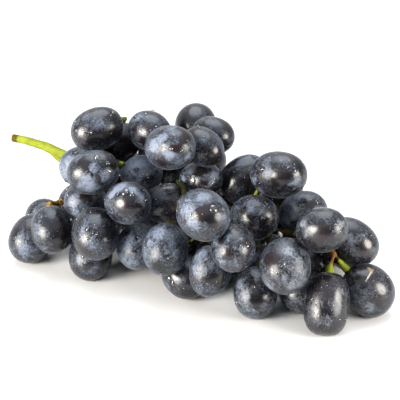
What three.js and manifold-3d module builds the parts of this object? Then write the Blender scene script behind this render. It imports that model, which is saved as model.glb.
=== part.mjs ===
// A bunch of black table grapes, picked and laid down on its side.
// Millimetres. +X runs along the bunch from the cut stem to the tip, +Z is up and z = 0 is the
// surface that the bunch lies on. Every grape is a solid of its own, and the stem with all of its
// branches and stalks is one more, because it grew in one piece.
import * as THREE from "three";
import { mergeVertices } from "three/addons/utils/BufferGeometryUtils.js";
import Module from "manifold-3d";

// Driving dimensions
const usualWidth = 20; // across a grape
const usualLength = 24; // stalk end to free end
const sizeSpread = 0.06; // how much the grapes with no size of their own differ, as a share
const leastFullness = 0.04; // how barrel-shaped the slimmest grape is, as a share
const fullnessSpread = 0.1; // how much more barrel-shaped the others are
const endDimple = 0.5; // how far a grape's stalk end is sunk
const pressDepth = 0.8; // how far two grapes may flatten each other
const skinGap = 0.2; // left between two flattened skins
const surfaceSpot = 0.5; // how far a grape flattens on the surface it lies on
const stalkGap = 0.3; // left between a stalk and the grape that it carries
const stemRoom = 0.7; // kept between the stem and every grape that it passes
const mainRoom = 2.45; // kept free round the middle line of the main stem
const cutRadius = 1.75; // of the main stem, at its cut end
const neckRadius = 2.2; // where it enters the bunch
const neckShare = 0.15; // how far along the main stem that is
const tipRadius = 1.25; // at its last fork
const branchRadius = 1.15;
const stalkRadius = 0.8;
const padRadius = 1.8; // of the swollen end of a stalk
const padLength = 2.4;
const branchSwell = 1.2; // how much thicker a branch is where it leaves the main stem
const branchTaper = 0.05; // what it loses of that at each step

// Number of faces round and along each shape
const grapeSides = 12;
const grapeRings = 8;
const mainSides = 7;
const mainSteps = 17;
const branchSides = 6;
const branchSteps = 6;
const stalkSides = 5;
const stalkSteps = 4;

// The main stem, from the cut end to the last fork
const mainStem = [
  [-114, 14, 41.2],
  [-100, 14, 41.2],
  [-88, 13.5, 40],
  [-76, 13, 37.5],
  [-62, 12, 34],
  [-40, 13, 30],
  [-20, 10, 29],
  [0, 7, 28],
  [20, 5, 26],
  [38, 8, 24],
  [56, 4, 27],
  [75, -8, 28],
];

// The branches. path leads away from the main stem. grapes are x, y, z of the middle, width,
// length, the bearing and rise in degrees of the free end, and how barrel-shaped it is. A grape
// with only a place takes the usual size, and its free end points away from its branch.
const branches = {
  shoulder: {
    path: [[-60, 12, 34], [-54, 1, 31], [-58, -11, 28], [-66, -17, 26]],
    grapes: [
      [-82, -4, 10, 19, 22.6, 130, -35],
      [-73, -28, 11, 21.5, 24.5, -90, -30],
      [-57, -34, 22, 19.5, 23, -52, -38],
      [-62, 0.4, 20, 18.4, 21.8, 225, -23],
    ],
  },
  upper_left: {
    path: [[-72, 12, 36], [-56, 9, 48], [-44, -4, 49]],
    grapes: [
      [-58.5, -1.5, 41.4, 20.4, 23.5, -150, 0],
      [-40.4, -21.8, 50, 20, 24.2, 213, -14],
      [-47.9, -18.4, 33.4, 18, 21.5, -100, -20],
      [-18, -29, 42, 19.5, 23.5, -21, 13],
    ],
  },
  lower_left: {
    path: [[-50, 12, 32], [-38, -2, 27], [-33, -16, 24]],
    grapes: [
      [-31, -37, 27, 21.5, 25.5, -55, -23],
      [-39, -29, 10, 20.5, 24, -70, -30],
      [-16, -25, 18, 19.5, 23, -63, -13],
      [-53, -8, 13],
      [-26, -9, 13.5],
    ],
  },
  neck: {
    path: [[-64, 12, 34], [-58, 15, 44], [-50, 14, 53]],
    grapes: [
      [-49.6, -0.8, 62, 20.5, 25.4, 230, -8],
      [-50, 22, 47],
    ],
  },
  top: {
    path: [[-30, 12, 30], [-26, 15, 42], [-21, 6, 52], [-21, -3, 56]],
    grapes: [
      [-30, 12, 61, 19, 23, 156, 2],
      [-3.4, -15.1, 67, 20, 25.2, -17, 17],
      [-30, 5, 41, 17.5, 21, -119, 1],
    ],
  },
  crown: {
    path: [[-16, 10, 29], [-10, 14, 42], [-7, 15, 50]],
    grapes: [
      [5.2, 0.6, 63.2, 17, 21.6, -19, -17],
      [-16.8, 33.6, 57, 20.6, 22.5, 115, 25],
      [-0.4, 22.6, 60, 17.5, 21.2, -7, -2],
      [3, 3, 45, 17.5, 21, -12, 16],
    ],
  },
  front: {
    path: [[-12, 9, 29], [-2, -6, 46], [8, -22, 44]],
    grapes: [
      [26, -40, 50.3, 22, 25.6, -33, -3],
      [-7, -12, 37, 18.5, 21.5, 200, -10],
    ],
  },
  front_low: {
    path: [[4, 7, 28], [9, -8, 25], [16, -20, 25]],
    grapes: [
      [9.2, -25.4, 9, 19.5, 23, -28, -15],
      [26, -33, 19.7, 18.5, 23, -86, -63],
      [5, -36, 27, 20.5, 24.5, -68, -32],
      [-4, -8, 12],
      [18, -9, 12],
    ],
  },
  upper_right: {
    path: [[22, 5, 26], [27, 9, 35], [30, 9, 43]],
    grapes: [
      [40, 8, 53, 21.4, 27, -11, 13],
      [33, -2, 34, 21, 25, -32, 22],
      [49, 17, 31, 20, 23.5, -10, 35],
      [19, 18, 42.8, 21, 25.5, 45, 33],
    ],
  },
  front_right: {
    path: [[34, 8, 24], [42, -6, 22], [49, -15, 22]],
    grapes: [
      [38, -35, 35, 19.5, 23, -63, -4],
      [45.2, -25.6, 9, 19.5, 23.5, -70, -33],
      [60, -28, 28, 22.5, 26.5, -63, -14],
      [62, -14, 9, 19, 22.5, -40, -20],
      [39, -7, 12],
    ],
  },
  tip: {
    path: [[66, -3, 28], [75, -8, 28]],
    grapes: [
      [72, -17, 43.2, 19.4, 23, -4, 22],
      [75, -1.4, 26.7, 19.6, 24.5, -5, -26],
      [89.4, -2.1, 11.4, 22.8, 24.8, 0, -46],
      [77.4, -23.3, 11, 19.3, 26.5, -73, -53, 0.33],
      [61, 5, 13, 18, 21.5, -60, -60],
      [73, 18, 17],
    ],
  },
  back_left: {
    path: [[-89, 13, 40], [-83.5, 11, 34], [-80, 10, 29], [-71, 15, 27], [-57, 19, 31]],
    grapes: [
      [-66, 23, 16],
      [-47, 22, 12],
      [-34, 30, 46],
      [-46.5, 34, 27.5],
      [-64, 32, 36],
    ],
  },
  back_middle: {
    path: [[-26, 11, 29], [-14, 20, 30]],
    grapes: [
      [-26, 22, 12],
      [-25, 36, 27],
      [-2, 24, 12],
      [-10, 33, 38],
      [-1, 37, 21.5],
    ],
  },
  back_right: {
    path: [[22, 5, 26], [34, 19, 25]],
    grapes: [
      [20, 20, 12],
      [20, 38, 22],
      [41, 26, 11],
      [30, 34, 36],
      [56, 31, 11],
    ],
  },
};

// A small seeded random generator (mulberry32), from 0 to 1
function seededRandom(seed) {
  let state = seed;
  return () => {
    state = (state + 0x6d2b79f5) | 0;
    let mixed = Math.imul(state ^ (state >>> 15), 1 | state);
    mixed = (mixed + Math.imul(mixed ^ (mixed >>> 7), 61 | mixed)) ^ mixed;
    return ((mixed ^ (mixed >>> 14)) >>> 0) / 4294967296;
  };
}

const vector = (list) => new THREE.Vector3(...list);

// A unit vector from a bearing round Z, counted from +X, and a rise above the level
function direction(bearing, rise) {
  const turn = THREE.MathUtils.degToRad(bearing);
  const lift = THREE.MathUtils.degToRad(rise);
  return new THREE.Vector3(
    Math.cos(lift) * Math.cos(turn),
    Math.cos(lift) * Math.sin(turn),
    Math.sin(lift),
  );
}

// Evenly spaced points on a smooth curve through the given ones
const evenly = (points, steps) =>
  new THREE.CatmullRomCurve3(points, false, "centripetal").getSpacedPoints(steps);

// The point of a line of points that is nearest to a place
const nearestOn = (line, place) =>
  line.reduce((best, point) =>
    point.distanceTo(place) < best.distanceTo(place) ? point : best,
  );

// The grapes, as ellipsoids: middle, half width, half length and the way to the free end
function readGrapes() {
  const random = seededRandom(11);
  const pathSteps = 8;
  return Object.entries(branches).flatMap(([branch, { path, grapes }]) =>
    grapes.map(([x, y, z, width, length, bearing, rise, fullness], i) => {
      const middle = new THREE.Vector3(x, y, z);
      const size = 1 + sizeSpread * (2 * random() - 1);
      const usualFullness = leastFullness + fullnessSpread * random();
      const from = nearestOn(evenly(path.map(vector), pathSteps), middle);
      const free =
        bearing === undefined
          ? middle.clone().sub(from).normalize()
          : direction(bearing, rise);
      return {
        name: `grape_${branch}_${i + 1}`,
        branch,
        middle,
        free,
        grownAt: middle.clone(),
        grownTo: free.clone(),
        across: (width ?? usualWidth * size) / 2,
        along: (length ?? usualLength * size) / 2,
        fullness: fullness ?? usualFullness,
      };
    }),
  );
}

// How far an ellipsoid reaches from its middle along a unit vector
function reach(grape, way) {
  const lengthwise = grape.free.dot(way) ** 2;
  return Math.sqrt(
    grape.across ** 2 * (1 - lengthwise) + grape.along ** 2 * lengthwise,
  );
}

// The point of an ellipsoid's surface furthest along a unit vector, from its middle
function furthest(grape, way) {
  const stretch = grape.along ** 2 - grape.across ** 2;
  return way
    .clone()
    .multiplyScalar(grape.across ** 2)
    .addScaledVector(grape.free, grape.free.dot(way) * stretch)
    .divideScalar(reach(grape, way));
}

// The way in which two grapes lie furthest apart, and that distance, below 0 where they press.
// The search starts from the line between their middles and climbs in a few steps.
function between(one, other) {
  const steps = 10;
  const stride = 0.04;
  const apart = other.middle.clone().sub(one.middle);
  const way = apart.clone().normalize();
  for (let step = 0; step < steps; step++) {
    const slope = apart.clone().sub(furthest(one, way)).sub(furthest(other, way));
    slope.addScaledVector(way, -slope.dot(way));
    way.addScaledVector(slope, stride).normalize();
  }
  return { way, distance: apart.dot(way) - reach(one, way) - reach(other, way) };
}

// The push that takes a ball round a point out of a grape, or null where it is clear
function pushOut(grape, point, radius) {
  const way = point.clone().sub(grape.middle);
  const distance = way.length();
  way.divideScalar(distance);
  const lengthwise = grape.free.dot(way) ** 2;
  const surface =
    1 /
    Math.sqrt((1 - lengthwise) / grape.across ** 2 + lengthwise / grape.along ** 2);
  const depth = surface + radius - distance;
  return depth > 0 ? way.multiplyScalar(depth) : null;
}

// A point in line with a grape, this far out from its stalk end
const beforeStalkEnd = (grape, distance) =>
  grape.middle.clone().addScaledVector(grape.free, -grape.along - distance);

// Lets the grapes shift until none presses too deep into another, the surface, the main stem or
// the stalk of another
function settle(grapes, stemLine) {
  const rounds = 300;
  const looseRounds = 90; // the last ones, in which nothing pulls the grapes back
  const give = 0.4; // share of an overlap that one round takes away
  const turn = 0.3; // how far a blocked stalk end turns its grape
  const pullBack = 0.02; // towards the place where a grape grew
  const up = new THREE.Vector3(0, 0, 1);
  for (let round = 0; round < rounds; round++) {
    grapes.forEach((one, i) => {
      grapes.slice(i + 1).forEach((other) => {
        if (one.middle.distanceTo(other.middle) > one.along + other.along) return;
        const { way, distance } = between(one, other);
        const excess = -pressDepth - distance;
        if (excess > 0) {
          one.middle.addScaledVector(way, -excess * give);
          other.middle.addScaledVector(way, excess * give);
        }
      });
      stemLine.forEach((point) => {
        const push = pushOut(one, point, mainRoom);
        if (push) one.middle.addScaledVector(push, -give);
      });
      const stalk = beforeStalkEnd(one, padLength);
      grapes.forEach((other) => {
        const push = other !== one && pushOut(other, stalk, padRadius + stemRoom);
        if (push) {
          other.middle.addScaledVector(push, -give / 2);
          one.middle.addScaledVector(push, give / 2);
          one.free.addScaledVector(push, -turn / one.along).normalize();
        }
      });
      if (round < rounds - looseRounds) {
        one.middle.lerp(one.grownAt, pullBack);
        one.free.lerp(one.grownTo, pullBack).normalize();
      }
      one.middle.z = Math.max(one.middle.z, reach(one, up) - surfaceSpot);
    });
  }
}

// Moves the loose points of a line clear of the grapes, and keeps the line smooth. held is how
// many points at its end stay in place.
function clearOf(grapes, line, radius, held) {
  const rounds = 90;
  const smoothRounds = 60;
  const smoothing = 0.25;
  const give = 0.7;
  for (let round = 0; round < rounds; round++)
    for (let i = 1; i < line.length - held; i++) {
      if (i < line.length - 1 && round < smoothRounds) {
        const level = line[i - 1].clone().lerp(line[i + 1], 0.5);
        line[i].lerp(level, smoothing);
      }
      grapes.forEach((grape) => {
        const push = pushOut(grape, line[i], radius + stemRoom);
        if (push) line[i].addScaledVector(push, give);
      });
      line[i].z = Math.max(line[i].z, radius + stemRoom);
    }
  return line;
}

// A closed round rod through a line of points, with a radius at each
function rod(line, radii, sides) {
  const corners = [];
  const side = new THREE.Vector3(0.3, 0.2, 1);
  line.forEach((point, i) => {
    const ahead = line[Math.min(i + 1, line.length - 1)]
      .clone()
      .sub(line[Math.max(i - 1, 0)])
      .normalize();
    side.addScaledVector(ahead, -side.dot(ahead)).normalize();
    const other = ahead.clone().cross(side);
    for (let k = 0; k < sides; k++) {
      const turn = (k / sides) * Math.PI * 2;
      corners.push(
        point
          .clone()
          .addScaledVector(side, Math.cos(turn) * radii[i])
          .addScaledVector(other, Math.sin(turn) * radii[i]),
      );
    }
  });
  const faces = [];
  const end = (line.length - 1) * sides;
  for (let ring = 0; ring < end; ring += sides)
    for (let k = 0; k < sides; k++) {
      const a = ring + k;
      const b = ring + ((k + 1) % sides);
      faces.push(a, b, b + sides, a, b + sides, a + sides);
    }
  for (let k = 1; k < sides - 1; k++)
    faces.push(0, k + 1, k, end, end + k, end + k + 1);
  const places = corners.flatMap((corner) => corner.toArray());
  return new THREE.BufferGeometry()
    .setAttribute("position", new THREE.Float32BufferAttribute(places, 3))
    .setIndex(faces);
}

// A grape's outline turned round its length: barrel-shaped, with a flattened stalk end
function grapeShape({ across, along, fullness, free, middle }) {
  const outline = [new THREE.Vector2(0, endDimple - along)];
  for (let i = 1; i < grapeRings; i++) {
    const turn = (i / grapeRings) * Math.PI;
    const full = 1 + fullness * (Math.sin(turn) * Math.cos(turn)) ** 2;
    outline.push(
      new THREE.Vector2(
        across * Math.sin(turn) * full,
        -along * Math.cos(turn) * full,
      ),
    );
  }
  outline.push(new THREE.Vector2(0, along));
  const upright = new THREE.Vector3(0, 1, 0);
  return new THREE.LatheGeometry(outline, grapeSides)
    .applyQuaternion(new THREE.Quaternion().setFromUnitVectors(upright, free))
    .translate(...middle.toArray());
}

// Flattens a shape where it lies beyond a plane
function flatten(shape, onPlane, way) {
  const corners = shape.getAttribute("position");
  const corner = new THREE.Vector3();
  for (let i = 0; i < corners.count; i++) {
    corner.fromBufferAttribute(corners, i);
    const beyond = corner.clone().sub(onPlane).dot(way);
    if (beyond > 0) corners.setXYZ(i, ...corner.addScaledVector(way, -beyond));
  }
}

// The shapes of all grapes, flattened by the surface and by the grapes that they press on
function grapeShapes(grapes) {
  const nearby = 1; // a barrel-shaped grape stands this much out of its ellipsoid at most
  const shapes = grapes.map(grapeShape);
  grapes.forEach((one, i) => {
    for (let k = i + 1; k < grapes.length; k++) {
      const { way, distance } = between(one, grapes[k]);
      if (distance > nearby) continue;
      const meeting = reach(one, way) + (distance - skinGap) / 2;
      const onPlane = one.middle.clone().addScaledVector(way, meeting);
      flatten(shapes[i], onPlane, way);
      onPlane.addScaledVector(way, skinGap);
      flatten(shapes[k], onPlane, way.clone().negate());
    }
  });
  return shapes;
}

// The rods of the stem: the main one, then each branch with the stalks of its grapes
function stemRods(grapes, stemLine) {
  const looseSteps = 12; // of a branch, while it is moved clear of the grapes
  const bareSteps = 3; // of them, next to the main stem, where no stalk leaves
  const mainLine = evenly(mainStem.map(vector), mainSteps);
  const mainRadii = mainLine.map((_, i) => {
    const share = i / mainSteps;
    return share < neckShare
      ? THREE.MathUtils.lerp(cutRadius, neckRadius, share / neckShare)
      : THREE.MathUtils.lerp(neckRadius, tipRadius, (share - neckShare) / (1 - neckShare));
  });
  const rods = [rod(mainLine, mainRadii, mainSides)];
  Object.entries(branches).forEach(([name, { path }]) => {
    const start = nearestOn(stemLine, vector(path[0]));
    const points = [start, ...path.slice(1).map(vector)];
    const line = clearOf(grapes, evenly(points, looseSteps), branchRadius, 0);
    const branch = evenly(line, branchSteps);
    const branchRadii = branch.map(
      (_, i) => branchRadius * (branchSwell - branchTaper * i),
    );
    rods.push(rod(branch, branchRadii, branchSides));
    const outerPart = line.slice(bareSteps);
    grapes
      .filter((grape) => grape.branch === name)
      .forEach((grape) => rods.push(stalk(grape, outerPart, grapes)));
  });
  return rods;
}

// A stalk, from its branch to its grape, with a swollen end
function stalk(grape, branchLine, grapes) {
  const looseSteps = 8;
  const seat = beforeStalkEnd(grape, stalkGap - endDimple);
  const pad = beforeStalkEnd(grape, stalkGap - endDimple + padLength);
  const bend = beforeStalkEnd(grape, padLength * 2); // from here on it runs straight
  const root = nearestOn(branchLine, bend);
  const straight = evenly([root, bend], looseSteps);
  const loose = clearOf(grapes, [...straight, pad], stalkRadius, 1);
  const line = [...evenly(loose, stalkSteps), seat];
  const radii = line.map((_, i) => (i < stalkSteps ? stalkRadius : padRadius));
  radii[stalkSteps] = (stalkRadius + padRadius) / 2;
  return rod(line, radii, stalkSides);
}

const wasm = await Module();
wasm.setup();

// A three.js shape as a manifold-3d solid, and below it the way back
function toSolid(shape) {
  shape.deleteAttribute("normal");
  shape.deleteAttribute("uv");
  const merged = mergeVertices(shape, 1e-3);
  return new wasm.Manifold(
    new wasm.Mesh({
      numProp: 3,
      vertProperties: merged.getAttribute("position").array,
      triVerts: new Uint32Array(merged.index.array),
    }),
  );
}

function toShape(solid) {
  const mesh = solid.getMesh();
  const shape = new THREE.BufferGeometry()
    .setAttribute("position", new THREE.BufferAttribute(mesh.vertProperties, 3))
    .setIndex(new THREE.BufferAttribute(mesh.triVerts, 1));
  shape.computeVertexNormals();
  return shape;
}

const skin = () => new THREE.MeshStandardMaterial({ color: 0x23222c, roughness: 0.35 });
const bark = () => new THREE.MeshStandardMaterial({ color: 0xa4b83a, roughness: 0.55 });

function named(name, shape, material) {
  const mesh = new THREE.Mesh(shape, material);
  mesh.name = name;
  return mesh;
}

const closeSteps = 54; // of the main stem, where grapes and branches are set against it
const stemLine = evenly(mainStem.map(vector), closeSteps);
const grapes = readGrapes();
settle(grapes, stemLine);

// What lies under the surface, which cuts the lowest grapes flat
const slabSide = 400;
const slabDepth = 40;
const slab = new THREE.BoxGeometry(slabSide, slabSide, slabDepth).translate(
  0,
  0,
  -slabDepth / 2,
);
const underneath = toSolid(slab);

const bunch = new THREE.Group();
grapeShapes(grapes).forEach((shape, i) => {
  const grape = toShape(toSolid(shape).subtract(underneath));
  bunch.add(named(grapes[i].name, grape, skin()));
});
const [stem] = stemRods(grapes, stemLine)
  .map(toSolid)
  .reduce((all, one) => all.add(one))
  .decompose()
  .sort((one, other) => other.volume() - one.volume());
bunch.add(named("stem", toShape(stem), bark()));

// The origin is under the middle of the bunch, on the surface that it lies on
const box = new THREE.Box3().setFromObject(bunch);
const centre = box.getCenter(new THREE.Vector3());
bunch.position.set(-centre.x, -centre.y, -box.min.z);

export default bunch;
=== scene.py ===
import math
import random

import bmesh
import bpy
import numpy as np
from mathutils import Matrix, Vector, noise
from mathutils.bvhtree import BVHTree


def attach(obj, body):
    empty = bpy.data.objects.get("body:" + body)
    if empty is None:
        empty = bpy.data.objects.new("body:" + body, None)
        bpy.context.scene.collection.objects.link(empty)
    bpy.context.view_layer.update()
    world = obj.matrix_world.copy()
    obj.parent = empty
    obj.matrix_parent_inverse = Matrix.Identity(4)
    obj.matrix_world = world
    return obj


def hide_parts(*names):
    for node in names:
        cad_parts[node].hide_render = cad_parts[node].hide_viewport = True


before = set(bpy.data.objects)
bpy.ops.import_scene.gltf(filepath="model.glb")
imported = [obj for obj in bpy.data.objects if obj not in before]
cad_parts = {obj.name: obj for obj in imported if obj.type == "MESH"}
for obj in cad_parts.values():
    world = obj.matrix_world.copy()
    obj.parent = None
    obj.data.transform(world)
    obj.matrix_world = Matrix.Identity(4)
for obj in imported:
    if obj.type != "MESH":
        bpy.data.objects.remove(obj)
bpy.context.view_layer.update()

bpy.ops.object.select_all(action="DESELECT")
mm = 0.001
viewSize = 400  # view points from side to side
grapeNodes = {name: node for name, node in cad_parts.items() if name != "stem"}
print("frame loaded:", len(grapeNodes), "grapes and a stem")


# --- small helpers used by every piece

def pickOnly(obj):
    if bpy.context.mode != "OBJECT":
        bpy.ops.object.mode_set(mode="OBJECT")
    bpy.ops.object.select_all(action="DESELECT")
    obj.select_set(True)
    bpy.context.view_layer.objects.active = obj


def selectWhere(obj, wanted):
    # selects the vertices for which wanted(place) is true, and leaves the object in edit mode
    pickOnly(obj)
    bpy.ops.object.mode_set(mode="EDIT")
    bpy.ops.mesh.select_mode(type="VERT")
    bpy.ops.mesh.select_all(action="DESELECT")
    bm = bmesh.from_edit_mesh(obj.data)
    for vertex in bm.verts:
        vertex.select_set(wanted(vertex.co))
    bm.select_flush(True)
    bmesh.update_edit_mesh(obj.data)


def leaveEditMode():
    bpy.ops.object.mode_set(mode="OBJECT")


def applyModifiers(obj):
    pickOnly(obj)
    for modifier in list(obj.modifiers):
        bpy.ops.object.modifier_apply(modifier=modifier.name)


def linkNew(name, mesh):
    obj = bpy.data.objects.new(name, mesh)
    bpy.context.scene.collection.objects.link(obj)
    return obj


def places(mesh):
    flat = np.empty(len(mesh.vertices) * 3)
    mesh.vertices.foreach_get("co", flat)
    return flat.reshape(-1, 3)


def setPlaces(mesh, points):
    mesh.vertices.foreach_set("co", np.asarray(points, np.float32).ravel())
    mesh.update()


def paint(mesh, name, values):
    # writes one number, or one vector, for each vertex
    values = np.asarray(values, np.float32)
    if values.ndim == 1:
        mesh.attributes.new(name, "FLOAT", "POINT").data.foreach_set("value", values)
    else:
        mesh.attributes.new(name, "FLOAT_VECTOR", "POINT").data.foreach_set("vector", values.ravel())


def shadeSmooth(obj):
    pickOnly(obj)
    bpy.ops.object.shade_smooth()


def bearingToWay(bearing, rise):
    turn, lift = math.radians(bearing), math.radians(rise)
    return Vector((math.cos(lift) * math.cos(turn), math.cos(lift) * math.sin(turn), math.sin(lift)))


# --- camera: low and a little to the right of the bunch's front

viewpoint = {
    "lookAt": (6.02, 8.54, 32),  # mm, in the middle of the bunch
    "bearing": -63,
    "rise": 25,
    "distance": 600,  # mm
    "lens": 113.4,
    "sensor": 36,
}


def placeCamera():
    target = Vector(viewpoint["lookAt"]) * mm
    back = bearingToWay(viewpoint["bearing"], viewpoint["rise"])
    place = target + back * viewpoint["distance"] * mm
    turn = (-back).to_track_quat("-Z", "Y").to_euler()
    bpy.ops.object.camera_add(location=place, rotation=turn)
    camera = bpy.context.object
    camera.data.lens = viewpoint["lens"]
    camera.data.sensor_width = viewpoint["sensor"]
    bpy.context.scene.camera = camera
    bpy.context.view_layer.update()
    return camera


camera = placeCamera()
cameraTurn = camera.matrix_world.to_3x3()


def sightLine(x, y):
    # the way from the camera through a view point
    half = viewpoint["sensor"] / viewpoint["lens"] / 2
    across = (x / viewSize * 2 - 1) * half
    upward = (1 - y / viewSize * 2) * half
    return (cameraTurn @ Vector((across, upward, -1))).normalized()


print("camera placed")


# --- node helpers

def fill(tree, socket, value):
    if isinstance(value, bpy.types.NodeSocket):
        tree.links.new(value, socket)
    else:
        socket.default_value = value


def addNode(tree, kind, inputs=None, **settings):
    node = tree.nodes.new(kind)
    for key, value in settings.items():
        setattr(node, key, value)
    for key, value in (inputs or {}).items():
        fill(tree, node.inputs[key], value)
    return node


def noiseOf(tree, vector, scale, detail=3.0, roughness=0.55, distortion=0.0):
    inputs = {"Vector": vector, "Scale": scale, "Detail": detail}
    inputs.update({"Roughness": roughness, "Distortion": distortion})
    return addNode(tree, "ShaderNodeTexNoise", inputs).outputs["Fac"]


def sumUp(tree, operation, first, second, third=None):
    inputs = {0: first, 1: second}
    if third is not None:
        inputs[2] = third
    return addNode(tree, "ShaderNodeMath", inputs, operation=operation).outputs[0]


def ramp(tree, value, low, high, lowest=0.0, highest=1.0):
    inputs = {"Value": value, "From Min": low, "From Max": high, "To Min": lowest, "To Max": highest}
    return addNode(tree, "ShaderNodeMapRange", inputs, interpolation_type="SMOOTHSTEP").outputs["Result"]


def blendColour(tree, share, first, second):
    node = addNode(tree, "ShaderNodeMix", {0: share, 6: first, 7: second}, data_type="RGBA")
    return node.outputs[2]


def blendValue(tree, share, first, second):
    node = addNode(tree, "ShaderNodeMix", {0: share, 2: first, 3: second}, data_type="FLOAT")
    return node.outputs[0]


def painted(tree, name):
    return addNode(tree, "ShaderNodeAttribute", attribute_name=name).outputs["Fac"]


def bumpOf(tree, height, strength, depth):
    inputs = {"Height": height, "Strength": strength, "Distance": depth * mm}
    return addNode(tree, "ShaderNodeBump", inputs).outputs["Normal"]


def newGroup(name, inputs, outputs):
    group = bpy.data.node_groups.new(name, "ShaderNodeTree")
    kinds = {"value": "NodeSocketFloat", "vector": "NodeSocketVector"}
    for socket, kind in inputs.items():
        group.interface.new_socket(socket, in_out="INPUT", socket_type=kinds[kind])
    for socket, kind in outputs.items():
        group.interface.new_socket(socket, in_out="OUTPUT", socket_type=kinds[kind])
    return group, group.nodes.new("NodeGroupInput").outputs, group.nodes.new("NodeGroupOutput").inputs


def placeGroup(tree, group, inputs):
    return addNode(tree, "ShaderNodeGroup", inputs, node_tree=group).outputs


def newMaterial(name):
    material = bpy.data.materials.new(name)
    material.use_nodes = True
    tree = material.node_tree
    shader = tree.nodes["Principled BSDF"]
    where = tree.nodes.new("ShaderNodeTexCoord").outputs["Object"]
    return material, tree, shader, where


def feed(tree, shader, **values):
    for key, value in values.items():
        fill(tree, shader.inputs[key.replace("_", " ")], value)


# --- grape skin: a nearly black glossy skin under a thin film of wax, with dense rubbed patches

skinFinish = {
    "dark": (0.0041, 0.0038, 0.005, 1),
    "violet": (0.0108, 0.0073, 0.009, 1),
    "film": (0.012, 0.0146, 0.0212, 1),
    "wax": (0.0405, 0.0505, 0.0722, 1),
    "waxPale": (0.116, 0.139, 0.187, 1),
    "warmWax": (0.0435, 0.049, 0.061, 1),
    "warmWaxPale": (0.122, 0.134, 0.159, 1),
    "warmFrom": (0.03, 0.075),  # m along X, where the wax turns from blue to grey
    "corky": (0.07, 0.05, 0.032, 1),
    "scar": (0.155, 0.115, 0.075, 1),
    "paleScar": (0.29, 0.25, 0.2, 1),
    "glossySkin": 0.24,
    "filmRough": 0.36,
    "waxRough": 0.52,
    "ior": 1.47,
    "sheen": 0.08,
    "sheenRough": 0.3,
    "sheenTint": (0.85, 0.92, 1, 1),
    "bumpStrength": 0.25,
    "bumpDepth": 0.05,  # mm
    "cloudScale": 120,
    "smudgeScale": 520,
    "grainScale": 1450,
    "pitScale": 640,
    "tintScale": 90,
    "tintEdge": (0.42, 0.62),
    "corkScale": 1500,
    "corkShare": 0.3,
    "corkEdge": (0.62, 0.78),
    "lengthwise": 0.75,  # scale along the berry, which makes the clouds longer that way
}

waxForm = {
    "clouds": {"detail": 4, "roughness": 0.55, "distortion": 0.9},
    "smudges": {"detail": 5, "roughness": 0.68, "distortion": 1.4},
    "grain": {"detail": 4, "roughness": 0.7, "distortion": 0.5},
    "cloudShare": 1.3,  # what each of them adds to the painted amount
    "smudgeShare": 2.1,
    "grainShare": 2.2,
    "film": (3.03, 3.29),  # the sum at which it starts and at which it is whole
    "dense": (3.36, 3.52),
    "pale": (3.52, 4.04),
    "pitEdge": (0.2, 0.46),
    "filmInPits": 0.5,
    "grainHeight": 0.6,
}


def waxGroup():
    # thin film and dense wax: clouds, smudges, grain and small pits round a painted amount
    inputs = {"Vector": "vector"}
    inputs.update({name: "value" for name in ("Amount", "Clouds", "Smudges", "Grain", "Pits", "Pitting")})
    outputs = {name: "value" for name in ("Film", "Dense", "Pale", "Height")}
    group, given, result = newGroup("waxBloom", inputs, outputs)
    clouds = noiseOf(group, given["Vector"], given["Clouds"], **waxForm["clouds"])
    smudges = noiseOf(group, given["Vector"], given["Smudges"], **waxForm["smudges"])
    grain = noiseOf(group, given["Vector"], given["Grain"], **waxForm["grain"])
    pitInputs = {"Vector": given["Vector"], "Scale": given["Pits"], "Randomness": 1.0}
    pits = addNode(group, "ShaderNodeTexVoronoi", pitInputs, feature="F1").outputs["Distance"]
    pits = ramp(group, pits, *waxForm["pitEdge"])
    level = sumUp(group, "MULTIPLY_ADD", clouds, waxForm["cloudShare"], given["Amount"])
    level = sumUp(group, "MULTIPLY_ADD", smudges, waxForm["smudgeShare"], level)
    level = sumUp(group, "MULTIPLY_ADD", grain, waxForm["grainShare"], level)
    kept = blendValue(group, given["Pitting"], 1.0, pits)
    film = ramp(group, level, *waxForm["film"])
    film = sumUp(group, "MULTIPLY", film, blendValue(group, waxForm["filmInPits"], 1.0, kept))
    dense = sumUp(group, "MULTIPLY", ramp(group, level, *waxForm["dense"]), kept)
    height = sumUp(group, "MULTIPLY_ADD", grain, waxForm["grainHeight"], dense)
    group.links.new(film, result["Film"])
    group.links.new(dense, result["Dense"])
    group.links.new(ramp(group, level, *waxForm["pale"]), result["Pale"])
    group.links.new(height, result["Height"])
    return group


# the corky scar on one grape: lines from one view point to another, half their width in mm, and
# whether the line is pale
scarLines = [
    ((368.4, 267.8), (370.8, 272.4), 0.42, False), ((370.4, 268.6), (371.2, 272.4), 0.5, False),
    ((372.8, 269.6), (371.6, 272.6), 0.42, False), ((371.3, 272.2), (368.0, 277.6), 0.36, True),
    ((368.0, 277.6), (365.6, 281.2), 0.24, True),
]
scarForm = {
    "wobbleScale": 1300,
    "wobble": 0.8,  # mm
    "softInside": 0.16,
    "softOutside": 0.12,
    "rough": 0.8,
    "height": 3,  # times the height of the wax
}


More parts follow.
